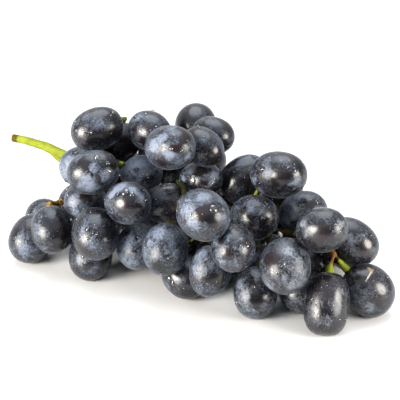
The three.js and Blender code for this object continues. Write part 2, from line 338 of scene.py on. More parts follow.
def scarGroup():
    # how far a place is from a line between two others
    inputs = {"Vector": "vector", "Start": "vector", "Along": "vector", "Length": "value"}
    group, given, result = newGroup("scarLine", inputs, {"Distance": "value"})
    ends = {0: given["Vector"], 1: given["Start"]}
    offset = addNode(group, "ShaderNodeVectorMath", ends, operation="SUBTRACT").outputs["Vector"]
    share = addNode(group, "ShaderNodeVectorMath", {0: offset, 1: given["Along"]}, operation="DOT_PRODUCT")
    squared = sumUp(group, "MULTIPLY", given["Length"], given["Length"])
    share = sumUp(group, "DIVIDE", share.outputs["Value"], squared)
    share = addNode(group, "ShaderNodeClamp", {"Value": share}).outputs["Result"]
    reached = addNode(group, "ShaderNodeVectorMath", {0: given["Along"], "Scale": share}, operation="SCALE")
    ends = {0: offset, 1: reached.outputs["Vector"]}
    apart = addNode(group, "ShaderNodeVectorMath", ends, operation="DISTANCE")
    group.links.new(apart.outputs["Value"], result["Distance"])
    return group


def scarMasks(tree, where):
    # where the scar is, and where it is pale
    group = scarGroup()
    wobble = noiseOf(tree, where, scarForm["wobbleScale"], roughness=0.6)
    wobble = sumUp(tree, "MULTIPLY_ADD", wobble, scarForm["wobble"] * mm, -scarForm["wobble"] * mm / 2)
    scar, pale = 0.0, 0.0
    for start, end, halfWidth, isPale in scarLines:
        first, last = spotOn(*start)[1], spotOn(*end)[1]
        inputs = {"Vector": where, "Start": first, "Along": last - first, "Length": (last - first).length}
        distance = sumUp(tree, "ADD", placeGroup(tree, group, inputs)["Distance"], wobble)
        inside, outside = halfWidth - scarForm["softInside"], halfWidth + scarForm["softOutside"]
        line = ramp(tree, distance, inside * mm, outside * mm, 1, 0)
        scar = sumUp(tree, "MAXIMUM", scar, line)
        if isPale:
            pale = sumUp(tree, "MAXIMUM", pale, line)
    return scar, pale


def skinMaterial():
    material, tree, shader, where = newMaterial("grapeSkin")
    own = addNode(tree, "ShaderNodeAttribute", attribute_name="own").outputs["Vector"]
    stretch = {"Vector": own, "Scale": (1, 1, skinFinish["lengthwise"])}
    own = addNode(tree, "ShaderNodeMapping", stretch).outputs["Vector"]
    amount, pitting, cork = [painted(tree, name) for name in ("bloom", "pitting", "cork")]
    wax = placeGroup(tree, waxGroup(), {
        "Vector": own,
        "Amount": amount,
        "Clouds": skinFinish["cloudScale"],
        "Smudges": skinFinish["smudgeScale"],
        "Grain": skinFinish["grainScale"],
        "Pits": skinFinish["pitScale"],
        "Pitting": pitting,
    })
    tint = ramp(tree, noiseOf(tree, own, skinFinish["tintScale"]), *skinFinish["tintEdge"])
    skin = blendColour(tree, tint, skinFinish["dark"], skinFinish["violet"])
    colour = blendColour(tree, wax["Film"], skin, skinFinish["film"])
    spread = addNode(tree, "ShaderNodeSeparateXYZ", {"Vector": where}).outputs["X"]
    warm = ramp(tree, spread, *skinFinish["warmFrom"])
    thin = blendColour(tree, warm, skinFinish["wax"], skinFinish["warmWax"])
    thick = blendColour(tree, warm, skinFinish["waxPale"], skinFinish["warmWaxPale"])
    waxColour = blendColour(tree, wax["Pale"], thin, thick)
    colour = blendColour(tree, wax["Dense"], colour, waxColour)
    corky = noiseOf(tree, own, skinFinish["corkScale"], 2)
    corky = sumUp(tree, "MULTIPLY_ADD", corky, skinFinish["corkShare"], cork)
    colour = blendColour(tree, ramp(tree, corky, *skinFinish["corkEdge"]), colour, skinFinish["corky"])
    scar, pale = scarMasks(tree, where)
    scarColour = blendColour(tree, pale, skinFinish["scar"], skinFinish["paleScar"])
    colour = blendColour(tree, scar, colour, scarColour)
    rough = blendValue(tree, wax["Film"], skinFinish["glossySkin"], skinFinish["filmRough"])
    rough = blendValue(tree, wax["Dense"], rough, skinFinish["waxRough"])
    rough = blendValue(tree, scar, rough, scarForm["rough"])
    height = sumUp(tree, "MULTIPLY_ADD", scar, scarForm["height"], wax["Height"])
    normal = bumpOf(tree, height, skinFinish["bumpStrength"], skinFinish["bumpDepth"])
    feed(tree, shader, Base_Color=colour, Roughness=rough, Normal=normal, IOR=skinFinish["ior"])
    feed(tree, shader, Sheen_Weight=skinFinish["sheen"], Sheen_Roughness=skinFinish["sheenRough"])
    feed(tree, shader, Sheen_Tint=skinFinish["sheenTint"])
    return material


# --- grapes: one shaped berry, copied, fitted to each CAD grape and pressed by its neighbours

grapeForm = {
    "sides": 88,
    "rings": 58,
    "stalkEnd": -0.999,  # of the half length, where the dimple's middle is
    "dimpleDepth": 0.055,
    "dimpleWidth": 0.5,
    "freeEnd": 0.9,
    "stigmaWidth": 0.02,
    "stigmaSpread": 0.1,
    "stigmaLift": 0.012,
    "stigmaReach": 0.9,  # mm
    "usualBarrel": 0.08,
    "barrels": {"grape_tip_4": 0.33},  # the ones that are squarer in outline
    "widthFit": 1.03,  # the CAD grape is faceted, so its smooth skin lies a little further out
    "lengthFit": 1.012,
    "lumpSize": 14,  # mm
    "lumpDepth": 0.22,
    "lumpShift": (7.3, 1.1, 4.7),
    "patternShift": 3,  # how far the grapes' patterns lie apart, so that no two are alike
    "nearby": 1.0,  # mm
    "skinGap": 0.12,
    "softness": 0.3,
    "pressSteps": 12,
    "pressStep": 0.04,
}


def modelBerry():
    # a berry of half width and half length 1, with its stalk end down
    bpy.ops.mesh.primitive_uv_sphere_add(
        segments=grapeForm["sides"], ring_count=grapeForm["rings"], radius=1, location=(0, 0, 0)
    )
    berry = bpy.context.object
    berry.name = "berryPattern"
    selectWhere(berry, lambda place: place.z < grapeForm["stalkEnd"])
    bpy.ops.transform.translate(
        value=(0, 0, grapeForm["dimpleDepth"]),
        use_proportional_edit=True,
        proportional_edit_falloff="SMOOTH",
        proportional_size=grapeForm["dimpleWidth"],
    )
    free, width = grapeForm["freeEnd"], grapeForm["stigmaWidth"]
    selectWhere(berry, lambda place: place.z > free and place.xy.length < width)
    bpy.ops.transform.translate(
        value=(0, 0, grapeForm["stigmaLift"]),
        use_proportional_edit=True,
        proportional_edit_falloff="SHARP",
        proportional_size=grapeForm["stigmaSpread"],
    )
    leaveEditMode()
    return berry


def measureGrape(node, stemPoints):
    # middle, way to the free end and half sizes, from how the node's volume is spread
    mesh = node.data
    points = places(mesh)
    mesh.calc_loop_triangles()
    corners = np.array([list(face.vertices) for face in mesh.loop_triangles])
    a, b, c = points[corners[:, 0]], points[corners[:, 1]], points[corners[:, 2]]
    volumes = np.einsum("ij,ij->i", a, np.cross(b, c)) / 6
    total = volumes.sum()
    middle = (volumes[:, None] * (a + b + c)).sum(0) / total / 4
    spread = sum(np.einsum("n,ni,nj->ij", volumes, p, p) for p in (a, b, c, a + b + c)) / 20
    spread = spread / total - np.outer(middle, middle)
    sizes, ways = np.linalg.eigh(spread)
    free = ways[:, 2]
    along = math.sqrt(5 * sizes[2]) * grapeForm["lengthFit"]
    across = math.sqrt(5 * (sizes[0] + sizes[1]) / 2) * grapeForm["widthFit"]
    ends = [np.linalg.norm(stemPoints - (middle + side * along * free), axis=1).min() for side in (-1, 1)]
    if ends[0] > ends[1]:
        free = -free
    return {"middle": middle, "free": free, "along": along, "across": across}


def reach(grape, way):
    lengthwise = (grape["free"] @ way) ** 2
    return math.sqrt(grape["across"] ** 2 * (1 - lengthwise) + grape["along"] ** 2 * lengthwise)


def furthest(grape, way):
    stretch = grape["along"] ** 2 - grape["across"] ** 2
    lean = grape["free"] * (grape["free"] @ way) * stretch
    return (way * grape["across"] ** 2 + lean) / reach(grape, way)


def between(one, other):
    # the way in which two grapes lie furthest apart, and how far
    apart = other["middle"] - one["middle"]
    way = apart / np.linalg.norm(apart)
    for _ in range(grapeForm["pressSteps"]):
        slope = apart - furthest(one, way) - furthest(other, way)
        slope = slope - way * (slope @ way)
        way = way + slope / mm * grapeForm["pressStep"]
        way = way / np.linalg.norm(way)
    return way, apart @ way - reach(one, way) - reach(other, way)


def press(points, onPlane, way):
    # flattens what lies beyond a plane, with a soft edge
    soft = grapeForm["softness"] * mm
    beyond = (points - onPlane) @ way
    edge = np.clip(beyond, -soft, soft)
    eased = np.where(beyond < -soft, beyond, edge - (edge + soft) ** 2 / (4 * soft))
    return points + np.outer(eased - beyond, way)


def fitBerry(pattern, name, grape, neighbours):
    mesh = pattern.data.copy()
    mesh.name = name
    points = places(mesh)
    free = Vector(grape["free"])
    turn = free.to_track_quat("Z", "Y").to_matrix()
    fullness = grapeForm["barrels"].get(name.replace("_skin", ""), grapeForm["usualBarrel"])
    lengthwise = points[:, 2:] ** 2
    points = points * (1 + fullness * lengthwise * (1 - lengthwise))
    points = points * (grape["across"], grape["across"], grape["along"])
    paint(mesh, "own", points + grape["middle"] * grapeForm["patternShift"])
    points = points @ np.array(turn).T
    lumps = []
    for place in points:
        where = Vector(place + grape["middle"]) / (grapeForm["lumpSize"] * mm)
        lumps.append(noise.noise(where + Vector(grapeForm["lumpShift"])))
    outward = points / np.linalg.norm(points, axis=1, keepdims=True)
    points = points + outward * np.array(lumps)[:, None] * grapeForm["lumpDepth"] * mm
    points = points + grape["middle"]
    for other in neighbours:
        way, distance = between(grape, other)
        meeting = reach(grape, way) + (distance - grapeForm["skinGap"] * mm) / 2
        points = press(points, grape["middle"] + way * meeting, way)
    points = press(points, np.zeros(3), np.array((0.0, 0.0, -1.0)))
    setPlaces(mesh, points)
    return linkNew(name, mesh)


def makeGrapes():
    stemPoints = places(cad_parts["stem"].data)
    measured = {name: measureGrape(node, stemPoints) for name, node in grapeNodes.items()}
    pattern = modelBerry()
    berries = {}
    for name, grape in measured.items():
        near = []
        for otherName, other in measured.items():
            if otherName == name:
                continue
            if np.linalg.norm(grape["middle"] - other["middle"]) > grape["along"] + other["along"]:
                continue
            if between(grape, other)[1] < grapeForm["nearby"] * mm:
                near.append(other)
        berries[name] = fitBerry(pattern, name + "_skin", grape, near)
    bpy.data.objects.remove(pattern)
    return berries, measured


berries, measured = makeGrapes()
print("grapes modelled:", len(berries))

# how much wax each grape carries, how pitted it is, and where it is rubbed or smeared: x and y in the
# view, radius in view points and the wax added or taken away there. Some wax taken away is painted
# shade on sides that neighbours shade, and some pale wax is a painted highlight where a glow is blocked
waxPlanWithPaintedLight = {
    # its right-half spot takes wax away as painted shade where top_1 shades it
    "neck_1": (0.35, 0.3, [
        (98, 122, 9, 0.15), (86, 118, 5, 0.1), (92, 140, 6, -0.4), (114, 138, 9, -0.5), (73, 127, 4, 0.3),
    ]),
    "upper_left_1": (0.85, 0.3, [(69, 159, 6, 0.3), (64, 174, 6, 0.35), (76, 152, 3, -0.5)]),
    "upper_left_2": (0.52, 0.25, [
        (84, 162, 6, -0.6), (109, 156, 7, -0.4), (94, 168, 5, 0.5), (87, 182, 8, 0.5), (100, 180, 3, -0.3),
        (105, 176, 6, 0.45), (92, 189, 6, 0.4), (114, 166, 5, -0.5),
    ]),
    "upper_left_3": (0.65, 0.3, [
        (73, 201, 7, 0.35), (86, 198, 5, -0.6), (75, 213, 5, 0.4), (90, 198, 4, -0.4),
    ]),
    "upper_left_4": (0.5, 0.15, [
        (120, 187, 8, 0.6), (133, 190, 6, 0.6), (112, 194, 5, 0.5), (141, 196, 4, 0.4),
        (125, 207, 9, -0.35), (137, 211, 7, -0.4), (131, 201, 4, -0.3),
    ]),
    "shoulder_1": (0.35, 0.2, [(34, 211, 4, 0.2), (48, 205, 6, -0.3)]),
    "shoulder_2": (0.52, 0.2, [
        (14, 232, 5, -0.3), (23, 250, 7, 0.3), (30, 226, 5, -0.2), (34, 256, 6, 0.1),
    ]),
    "shoulder_3": (0.35, 0.05, [
        (38, 232, 8, 0.15), (44, 248, 4, 0.3), (47, 210, 5, 0.2), (62, 232, 9, -0.6), (52, 222, 6, -0.3),
    ]),
    "shoulder_4": (0.4, 0.2, [(64, 192, 4, 0.2)]),
    # the two spots on its right side take wax away as painted shade where upper_left_4 and lower_left_3
    # shade it
    "lower_left_1": (0.4, 0.35, [
        (83, 228, 7, 0.15), (95, 244, 8, 0.3), (103, 214, 7, -0.5), (108, 232, 7, -0.45), (90, 216, 5, 0.1),
    ]),
    "lower_left_2": (0.38, 0.6, [(82, 259, 6, 0.3), (95, 272, 7, 0.1), (104, 262, 6, -0.3)]),
    "lower_left_3": (0.8, 0.85, [
        (125, 243, 8, 0.35), (124, 234, 4, -0.4), (128, 262, 7, 0.2), (140, 247, 6, -0.2),
    ]),
    "neck_2": (0.05, 0.1, []),
    "top_1": (0.4, 0.3, [
        (139, 116, 6, 0.35), (147, 117, 5, 0.2), (143, 141, 6, -0.5), (159, 122, 7, 0.1),
        (135, 128, 4, -0.2),
    ]),
    "top_2": (0.53, 0.15, [
        (154, 145, 8, 0.4), (162, 137, 6, 0.35), (170, 128, 6, 0.3), (161, 132, 3, -0.7),
        (175, 148, 4, -0.9), (187, 134, 6, -0.8), (182, 143, 5, -0.6), (168, 156, 6, 0.4),
        (162, 162, 6, -0.5), (188, 157, 4, 0.4), (174, 133, 4, 0.3),
    ]),
    "top_3": (0.91, 0.1, [
        (129, 169, 6, 0.35), (140, 163, 6, 0.3), (136, 171, 3, -0.5), (148, 180, 7, -0.3),
        (131, 181, 5, 0.2),
    ]),
    "crown_1": (0.48, 0.1, [
        (203, 139, 5, 0.35), (213, 160, 7, -0.5), (196, 132, 4, -0.2), (220, 150, 4, -0.2),
    ]),
    "crown_2": (0.2, 0.1, [(195, 112, 6, 0.12), (206, 116, 4, 0.1), (186, 120, 6, -0.4)]),
    "crown_3": (0.28, 0.15, [(219, 125, 4, 0.12), (206, 123, 4, -0.2), (228, 140, 5, -0.2)]),
    "crown_4": (0.52, 0.1, [
        (183, 181, 4, 0.7), (188, 189, 5, 0.8), (200, 172, 3, -0.2), (200, 170, 7, -0.5),
        (216, 175, 5, 0.45), (210, 184, 3, 0.4), (202, 185, 4, -0.5),
    ]),
    "front_1": (0.5, 0.25, [
        (186, 208, 9, 0.45), (204, 196, 7, 0.5), (193, 223, 9, 0.35), (203, 214, 6, -1.0),
        (211, 208, 6, -1.0), (199, 209, 3, -0.6), (221, 205, 4, -0.3), (206, 228, 6, 0.1),
        (213, 224, 6, -0.4), (224, 216, 3, 0.4), (212, 219, 6, -0.7), (217, 228, 4, -0.3),
    ]),
    "front_2": (0.3, 0.2, [(164, 196, 5, 0.15)]),
    "front_low_1": (0.44, 0.7, [
        (180, 281, 7, 0.15), (174, 276, 5, -0.15), (168, 286, 5, 0.25), (186, 292, 7, -0.2),
        (189, 282, 5, -0.2),
    ]),
    "front_low_2": (0.5, 0.3, [
        (200, 256, 8, 0.22), (196, 268, 5, 0.3), (216, 280, 8, -0.5), (213, 266, 4, 0.15),
        (200, 290, 6, 0.3),
    ]),
    "front_low_3": (0.56, 0.6, [
        (160, 232, 8, 0.35), (150, 244, 5, 0.25), (164, 243, 5, 0.0), (177, 254, 5, 0.35),
        (158, 268, 6, -0.5), (171, 264, 5, 0.0),
    ]),
    "upper_right_1": (0.38, 0.25, [
        (268, 163, 7, 0.3), (283, 159, 5, 0.2), (254, 180, 4, 0.5), (280, 183, 8, -0.5), (296, 181, 5, 0.5),
        (268, 174, 5, 0.45), (289, 184, 4, 0.35), (300, 165, 5, -0.3), (260, 190, 5, 0.3),
    ]),
    "upper_right_2": (0.38, 0.4, [
        (250, 206, 7, 0.4), (258, 212, 6, 0.2), (263, 220, 4, -0.6), (247, 226, 7, -0.2),
    ]),
    # its pale spots are partly a painted highlight: they lighten the left side, which upper_right_2 keeps
    # from the key light
    "upper_right_3": (0.62, 0.45, [
        (288, 205, 8, 0.75), (285, 220, 6, 0.6), (299, 197, 5, 0.6), (311, 203, 6, -0.5),
        (293, 213, 5, 0.5),
    ]),
    "upper_right_4": (0.3, 0.05, [(240, 162, 6, 0.4), (248, 157, 4, 0.4), (232, 180, 8, -0.2)]),
    "front_right_1": (0.46, 0.4, [
        (216, 241, 6, 0.4), (230, 236, 5, 0.3), (228, 254, 5, -0.8), (240, 238, 4, 0.25),
        (249, 243, 4, -0.7), (234, 229, 5, -0.3), (221, 262, 5, 0.3), (236, 264, 6, 0.1),
        (240, 249, 3, 0.5),
    ]),
    "front_right_2": (0.55, 0.6, [
        (241, 283, 7, 0.25), (246, 294, 5, 0.2), (258, 300, 9, -0.5), (238, 277, 4, 0.1),
    ]),
    "front_right_3": (0.55, 0.85, [
        (271, 258, 8, -0.7), (289, 251, 7, 0.5), (297, 259, 5, 0.3), (268, 285, 6, 0.4), (295, 285, 7, 0.4),
        (283, 268, 4, -0.1), (266, 266, 4, 0.1),
    ]),
    "front_right_4": (0.4, 0.3, [(298, 301, 5, 0.1)]),
    "tip_1": (0.34, 0.8, [
        (304, 222, 6, 0.4), (323, 231, 8, -0.35), (342, 224, 5, 0.4), (328, 212, 6, 0.1),
        (318, 243, 6, -0.4), (308, 234, 5, 0.3), (313, 214, 4, 0.25),
    ]),
    "tip_2": (0.49, 0.35, [
        (350, 239, 5, 0.3), (366, 246, 6, -1.0), (353, 231, 7, -0.2), (350, 252, 5, 0.1),
    ]),
    "tip_3": (0.42, 0.2, [
        (369, 308, 6, 0.4), (360, 282, 7, -0.3), (378, 300, 7, -0.3), (384, 280, 5, 0.05),
    ]),
    "tip_4": (0.22, 0.7, [
        (322, 279, 7, -0.3), (311, 306, 6, 0.15), (338, 308, 8, 0.3), (327, 321, 8, 0.35),
        (341, 290, 4, 0.2), (308, 290, 5, -0.1),
    ]),
    "tip_5": (0.2, 0.1, []),
}
bloomSpread = {
    "seed": 5,  # for the grapes that the plan leaves out
    "low": 0.3,
    "high": 0.6,
    "wander": 0.22,
    "wanderSize": 9,  # mm
    "wanderShift": (3.1, 8.2, 5.5),
    "edgeDepth": 1.3,
    "edgeSize": 3.2,
    "edgeSeed": 1795488619,  # without one, the noise vectors are seeded from the clock
    "smudgeStrength": 1.5,
    "wetReach": 1.45,  # of a big drop's half width, where the wax is thinner
    "wetLoss": 0.4,
}


def berrySurface():
    # one search tree over all the grapes, and which grape each of its faces belongs to
    points, faces, owners = [], [], []
    for name, berry in berries.items():
        start = len(points)
        points.extend(vertex.co.copy() for vertex in berry.data.vertices)
        faces.extend([start + i for i in face.vertices] for face in berry.data.polygons)
        owners.extend([name] * len(berry.data.polygons))
    return BVHTree.FromPolygons(points, faces), owners


surface, surfaceOwners = berrySurface()


def spotOn(x, y):
    # the grape behind a view point, with the place, the way out of its skin and its size per point
    place, outward, face, distance = surface.ray_cast(camera.location, sightLine(x, y))
    if face is None:
        return None, None, None, 0
    perPoint = distance * viewpoint["sensor"] / viewpoint["lens"] / viewSize
    return surfaceOwners[face], place, outward, perPoint


# big drops: x and y in the view, half width in mm, height as a share of it, and how long it runs
bigDrops = [
    (214, 209, 1.9, 0.4, 1.1), (193, 180, 1.6, 0.4, 1.5), (177, 210, 0.7, 0.7, 1.0),
    (187, 203, 0.7, 0.5, 1.2), (113.5, 112.5, 1.1, 0.6, 1.1), (135, 117, 0.9, 0.6, 1.0),
    (146, 113, 0.6, 0.8, 1.0), (153, 111, 0.9, 0.6, 1.1), (187, 106, 1.0, 0.6, 1.0),
    (198, 127, 0.9, 0.8, 1.0), (97, 157, 1.3, 0.45, 1.1), (108, 163, 1.1, 0.5, 1.0),
    (110, 172, 0.6, 0.5, 2.6), (87.5, 229.5, 0.8, 0.5, 1.1), (93, 233, 0.6, 0.5, 1.2),
    (97, 233.5, 0.7, 0.55, 1.2), (87.5, 238.5, 0.8, 0.5, 1.0), (84, 234, 0.4, 0.6, 1.0),
    (91, 226, 0.4, 0.6, 1.0), (103, 227, 0.5, 0.6, 1.0), (125, 192, 1.8, 0.35, 1.1),
    (118, 194, 0.8, 0.5, 1.0), (132, 194, 1.2, 0.4, 1.2), (146, 201, 0.6, 0.5, 1.8),
    (76, 153, 1.1, 0.5, 1.0), (62, 171, 0.8, 0.5, 1.0), (65.5, 181, 0.8, 0.6, 1.0),
    (188, 142, 0.9, 0.5, 1.3), (182, 151, 0.6, 0.6, 1.0), (171, 149, 0.9, 0.5, 1.0),
    (149, 146, 0.7, 0.7, 1.0), (153, 167, 0.7, 0.6, 1.0), (157, 171, 0.7, 0.6, 1.4),
    (148, 178, 0.6, 0.6, 1.0), (263, 168, 0.8, 0.5, 1.9), (287, 169, 0.5, 0.6, 1.0),
    (295, 170, 0.7, 0.5, 2.0), (259, 184, 0.6, 0.6, 1.0), (134, 177, 0.8, 0.5, 1.0),
    (130, 171, 0.6, 0.5, 1.3), (266, 203, 0.9, 0.5, 1.2), (263, 219, 1.0, 0.4, 1.1),
    (248, 245, 1.2, 0.4, 1.2), (242, 246, 0.8, 0.5, 1.0), (350, 251, 0.6, 0.6, 1.0),
    (346, 320, 0.7, 0.6, 1.0), (387, 277, 0.6, 0.6, 1.2), (83, 257, 0.8, 0.5, 1.3),
    (162, 274, 1.1, 0.6, 1.3), (169, 279, 1.3, 0.5, 1.2), (173, 283, 0.8, 0.6, 1.5),
    (204, 137, 0.6, 0.5, 1.0), (82, 130, 0.5, 0.5, 1.0), (76, 131, 0.6, 0.5, 1.6), (92, 133, 0.8, 0.5, 1.3),
    (111, 134, 0.5, 0.6, 1.0), (191, 214, 0.6, 0.6, 1.0), (196, 216, 0.6, 0.6, 1.3),
    (308, 239, 0.6, 0.5, 1.0), (221, 192, 1.0, 0.6, 1.3), (246, 266, 0.5, 0.6, 1.0),
    (368, 309, 0.7, 0.5, 1.3), (317, 202, 0.8, 0.5, 1.2), (200, 289, 0.6, 0.6, 1.2),
]


def findWetSpots():
    # where the big drops sit, grape by grape
    spots = {}
    for x, y, radius, height, run in bigDrops:
        owner, centre, outward, perPoint = spotOn(x, y)
        if owner is not None:
            spots.setdefault(owner, []).append((np.array(centre), radius * mm))
    return spots


def paintBloom():
    wetSpots = findWetSpots()
    randomWax = random.Random(bloomSpread["seed"])
    noise.seed_set(bloomSpread["edgeSeed"])
    for name, berry in berries.items():
        usual = randomWax.uniform(bloomSpread["low"], bloomSpread["high"])
        usualPits = randomWax.random()
        amount, pitting, smudges = waxPlanWithPaintedLight.get(name.replace("grape_", ""), (usual, usualPits, []))
        points = places(berry.data)
        values = np.full(len(points), amount)
        ragged = np.zeros_like(points)
        for i, place in enumerate(points):
            where = Vector(place) / (bloomSpread["wanderSize"] * mm)
            values[i] += bloomSpread["wander"] * noise.noise(where + Vector(bloomSpread["wanderShift"]))
            where = Vector(place) / (bloomSpread["edgeSize"] * mm)
            ragged[i] = noise.noise_vector(where) * bloomSpread["edgeDepth"] * mm
        # the plan's spots add or take away wax; some are painted shade on shaded sides, some a painted
        # highlight
        for x, y, radius, change in smudges:
            owner, centre, outward, perPoint = spotOn(x, y)
            if owner != name:
                print("smudge off its grape:", name, x, y, owner)
                continue
            apart = np.linalg.norm(points + ragged - np.array(centre), axis=1) / (radius * perPoint)
            values += change * bloomSpread["smudgeStrength"] * np.exp(-apart ** 4)
        for centre, radius in wetSpots.get(name, []):
            apart = np.linalg.norm(points - centre, axis=1) / (radius * bloomSpread["wetReach"])
            values -= bloomSpread["wetLoss"] * np.exp(-apart ** 4)
        # the wax amount, with the plan's painted shade and painted highlight in it
        paint(berry.data, "bloom", values)
        paint(berry.data, "pitting", np.full(len(points), pitting))
        ends = points - (measured[name]["middle"] + measured[name]["free"] * measured[name]["along"])
        paint(berry.data, "cork", 1 - np.linalg.norm(ends, axis=1) / (grapeForm["stigmaReach"] * mm))


paintBloom()
grapeSkin = skinMaterial()
for name, berry in berries.items():
    shadeSmooth(berry)
    berry.data.materials.clear()
    berry.data.materials.append(grapeSkin)
    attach(berry, "root")
    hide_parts(name)
print("grapes painted")


# --- stem: the CAD stem made round, grown over, and dark inside the bunch: an old olive-brown darkened with painted shade

stemForm = {
    "merge": 0.001,  # mm
    "voxel": 0.4,
    "rounding": 0.5,
    "smoothing": 6,
    "thicken": 0.12,
    "thickenBare": 0.3,  # of the bare stem outside the bunch
    "bareFrom": -60,  # mm along X
    "bareFade": 8,
    "knobs": [(-82.3, 0.2, 2.6), (-70.3, 0.35, 1.6)],  # swollen places: X, height and reach
    # places that are thicker where they show: x and y in the view, reach in view points and height
    "twigs": [(59, 203, 8, 0.6), (331, 271, 7, 0.5), (343, 266, 7, 0.5)],
    "ridges": 0.05,
    "ridgeSize": (9, 1.1, 1.1),
}

stemFinish = {
    "fresh": (0.185, 0.212, 0.019, 1),
    "freshDark": (0.13, 0.155, 0.012, 1),
    # painted shade: the stem inside the bunch is an old olive-brown darkened to near black
    "old": (0.024, 0.026, 0.008, 1),
    "oldDark": (0.015, 0.0135, 0.006, 1),
    "brown": (0.12, 0.05, 0.014, 1),
    "ring": (0.062, 0.042, 0.002, 1),
    "ochre": (0.36, 0.22, 0.05, 1),
    "bark": (0.018, 0.011, 0.004, 1),
    "cut": (0.50, 0.43, 0.33, 1),
    "tintScale": 240,
    "tintEdge": (0.35, 0.65),
    "fleckScale": 1300,
    "fleckEdge": (0.46, 0.56),
    "mottleScale": 900,
    "fibreScale": 1400,
    "fibreStretch": (0.15, 1, 1),
    "fibreShare": 0.7,
    "rough": 0.6,
    "ior": 1.38,
    "specular": 0.1,
    "scatter": 0.15,
    "scatterReach": 0.8,  # mm
    "bumpStrength": 0.5,
    "bumpDepth": 0.1,
}

# the painted layers, the lowest first: how much mottling breaks the edge, and where it starts and ends
stemLayers = {
    "fresh": (0.5, 0.55, 0.95),
    "browned": (0.6, 0.6, 1.0),
    "ring": (0.4, 0.4, 1.0),
    "bark": (0.4, 0.5, 0.8),
    "cut": (0.3, 0.6, 0.8),
}

# where the stem shows fresh green, brown or bark: x and y in the view, reach in view points and amount
stemSpots = {
    "fresh": [
        (123, 121, 5, 0.8), (122, 161, 4, 0.6), (196, 242, 6, 0.85), (252, 192, 6, 1.0), (257, 250, 6, 0.75),
        (327, 264, 6, 1.0), (331, 272, 8, 1.0), (344, 265, 8, 1.0), (331, 258, 4, 0.5), (280, 229, 4, 0.35),
        (165, 173, 4, 0.3),
    ],
    "browned": [(333, 254, 5, 0.9), (327, 250, 4, 0.8), (332.5, 261, 3.5, 0.7), (286, 232, 6, 0.5)],
    "bark": [(54, 204, 10, 1.0)],
}
stemEnd = {
    "freshFade": 5,  # mm, over which the bare stem turns green
    "ringMiddle": 5.4,  # mm from the cut
    "ringWidth": 2.2,
    "cream": 4.8,  # painted at the cut, and falling to nothing
    "creamFade": 0.9,  # mm for each 1 it falls
}


def stemMaterial():
    material, tree, shader, where = newMaterial("greenStem")
    finish = stemFinish
    tint = ramp(tree, noiseOf(tree, where, finish["tintScale"], 4, 0.6), *finish["tintEdge"])
    flecks = ramp(tree, noiseOf(tree, where, finish["fleckScale"], 4, 0.6, 0.6), *finish["fleckEdge"])
    mottle = noiseOf(tree, where, finish["mottleScale"], 4, 0.65)
    looks = {
        "fresh": blendColour(tree, tint, finish["fresh"], finish["freshDark"]),
        "browned": finish["brown"],
        "ring": finish["ring"],
        "bark": blendColour(tree, flecks, finish["bark"], finish["ochre"]),
        "cut": finish["cut"],
    }
    # the base colour is near-black olive, partly an old stem's colour and partly painted shade inside the
    # bunch; fresh green only where the stem shows
    colour = blendColour(tree, tint, finish["old"], finish["oldDark"])
    for name, (mottling, low, high) in stemLayers.items():
        share = sumUp(tree, "MULTIPLY_ADD", mottle, mottling, painted(tree, name))
        colour = blendColour(tree, ramp(tree, share, low, high), colour, looks[name])
    stretch = {"Vector": where, "Scale": finish["fibreStretch"]}
    fibres = addNode(tree, "ShaderNodeMapping", stretch).outputs["Vector"]
    fibres = noiseOf(tree, fibres, finish["fibreScale"], roughness=0.6)
    height = sumUp(tree, "MULTIPLY_ADD", fibres, finish["fibreShare"], mottle)
    normal = bumpOf(tree, height, finish["bumpStrength"], finish["bumpDepth"])
    feed(tree, shader, Base_Color=colour, Roughness=finish["rough"], Normal=normal, IOR=finish["ior"])
    feed(tree, shader, Specular_IOR_Level=finish["specular"], Subsurface_Weight=finish["scatter"])
    feed(tree, shader, Subsurface_Scale=finish["scatterReach"] * mm)
    return material


def awayFromSight(points, x, y):
    # how far each point is from the sight line through a view point, in view points
    way = np.array(sightLine(x, y))
    offset = points - np.array(camera.location)
    depth = offset @ way
    side = np.linalg.norm(offset - np.outer(depth, way), axis=1)
    return side / (depth * viewpoint["sensor"] / viewpoint["lens"] / viewSize)


def paintStem(mesh):
    points = places(mesh)
    along = points[:, 0] / mm
    fromCut = along - along.min()
    bare = np.clip((stemForm["bareFrom"] - along) / stemEnd["freshFade"], 0, 1)
    for name, spots in stemSpots.items():
        values = bare if name == "fresh" else np.zeros(len(points))
        for x, y, radius, amount in spots:
            values = np.maximum(values, amount * np.exp(-(awayFromSight(points, x, y) / radius) ** 4))
        paint(mesh, name, values)
    paint(mesh, "ring", np.exp(-((fromCut - stemEnd["ringMiddle"]) / stemEnd["ringWidth"]) ** 2))
    paint(mesh, "cut", np.clip(stemEnd["cream"] - fromCut / stemEnd["creamFade"], 0, 1))


